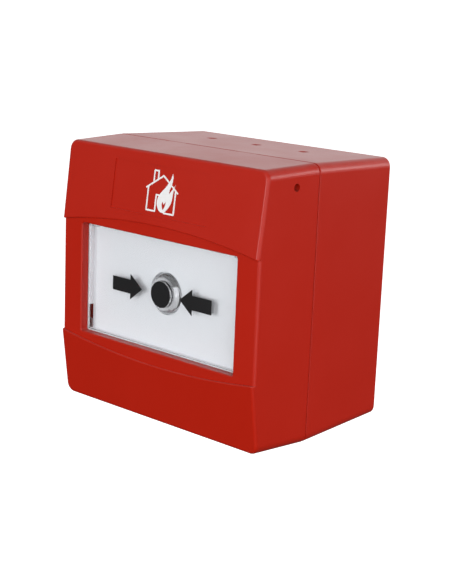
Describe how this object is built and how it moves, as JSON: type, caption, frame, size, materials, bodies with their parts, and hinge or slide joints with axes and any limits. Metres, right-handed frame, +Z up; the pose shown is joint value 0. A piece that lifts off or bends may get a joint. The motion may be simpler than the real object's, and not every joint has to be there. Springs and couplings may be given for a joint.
{
  "type": "manual call point",
  "caption": "Square red wall call point on a surface box: hinged front cover, window with a press pane, switch, terminals, key lock and test slider inside.",
  "frame": {"origin": "centre of the back box's rear face, where it lies on the wall", "axes": "+X to the right seen from the front, +Y into the wall (the front faces -Y), +Z up"},
  "size_m": [0.093, 0.0647, 0.091],
  "materials": {
    "red_abs": "satin moulded red plastic",
    "white_plastic": "smooth white moulded plastic",
    "clear_plastic": "clear polycarbonate",
    "black_print": "flat printed ink",
    "white_print": "flat printed ink",
    "bright_metal": "bright plated",
    "flag_plastic": "yellow moulded plastic",
    "chassis_plastic": "off-white moulded plastic",
    "terminal_plastic": "green moulded plastic",
    "board": "green board lacquer",
    "resistor": "lacquered resistor with tinned leads",
    "switch_plastic": "black moulded plastic",
    "button_plastic": "red-brown moulded plastic",
    "slider_plastic": "black moulded plastic",
    "spring_steel": "spring steel",
    "plated_steel": "zinc plated",
    "cam_metal": "die-cast zinc",
    "tinned_pins": "tinned",
    "brass": "plain brass"
  },
  "bodies": {
    "root": {"back_box": "red_abs", "earth_terminal": "brass", "earth_terminal_screws": "plated_steel", "chassis": "chassis_plastic", "chassis_screws": "plated_steel", "terminal_block": "terminal_plastic", "terminal_clamps": "brass", "terminal_screws": "plated_steel", "terminal_pins": "tinned_pins", "circuit_board": "board", "board_screws": "plated_steel", "alarm_resistor": "resistor", "microswitch_body": "switch_plastic", "microswitch_pins": "tinned_pins", "test_switch_body": "switch_plastic", "test_spring": "spring_steel", "element_tray": "white_plastic", "tray_screws": "plated_steel", "return_spring": "spring_steel"},
    "switch_button": {"microswitch_button": "button_plastic"},
    "switch_lever": {"switch_lever": "spring_steel"},
    "test_button": {"test_switch_button": "button_plastic"},
    "test_slider": {"test_slider": "slider_plastic"},
    "status_flag": {"status_flag": "flag_plastic"},
    "press_element": {"plunger": "bright_metal", "bezel_ring": "bright_metal", "clear_pane": "clear_plastic", "press_arrows": "black_print", "centre_dot": "black_print"},
    "front_cover": {"front_cover": "red_abs", "fire_symbol": "white_print"},
    "lock_cam": {"lock_cam": "cam_metal"}
  },
  "joints": [
    {"name": "press_slide", "type": "slide", "parent": "root", "child": "press_element", "axis": [0, 1, 0], "range_m": [0, 0.001], "stiffness_N_per_m": 2000, "springref_m": -0.001, "deforming": ["return_spring"]},
    {"name": "flag_slide", "type": "slide", "parent": "root", "child": "status_flag", "axis": [0, 0, -1], "range_m": [0, 0.006]},
    {"name": "lever_pivot", "type": "hinge", "parent": "root", "child": "switch_lever", "pos_m": [-0.012, -0.0542, -0.0015], "axis": [0, 0, 1], "range_deg": [0, 4.8]},
    {"name": "button_slide", "type": "slide", "parent": "root", "child": "switch_button", "axis": [0, 1, 0], "range_m": [0, 0.00042]},
    {"name": "test_slide", "type": "slide", "parent": "root", "child": "test_slider", "axis": [-1, 0, 0], "range_m": [0, 0.002], "stiffness_N_per_m": 500, "springref_m": -0.002, "deforming": ["test_spring"]},
    {"name": "test_button_slide", "type": "slide", "parent": "root", "child": "test_button", "axis": [-1, 0, 0], "range_m": [0, 0.002]},
    {"name": "cover_hinge", "type": "hinge", "parent": "root", "child": "front_cover", "pos_m": [0, -0.0391, 0.0455], "axis": [-1, 0, 0], "range_deg": [0, 45]},
    {"name": "lock_turn", "type": "hinge", "parent": "root", "child": "lock_cam", "pos_m": [0, -0.043, -0.036], "axis": [0, 0, 1], "range_deg": [0, 90]}
  ],
  "couplings": [
    {"joint": "flag_slide", "follows": "press_slide", "ratio": 6},
    {"joint": "lever_pivot", "follows": "press_slide", "rad_per_m": 83.333},
    {"joint": "button_slide", "follows": "press_slide", "ratio": 0.41667},
    {"joint": "test_button_slide", "follows": "test_slide", "ratio": 1}
  ]
}
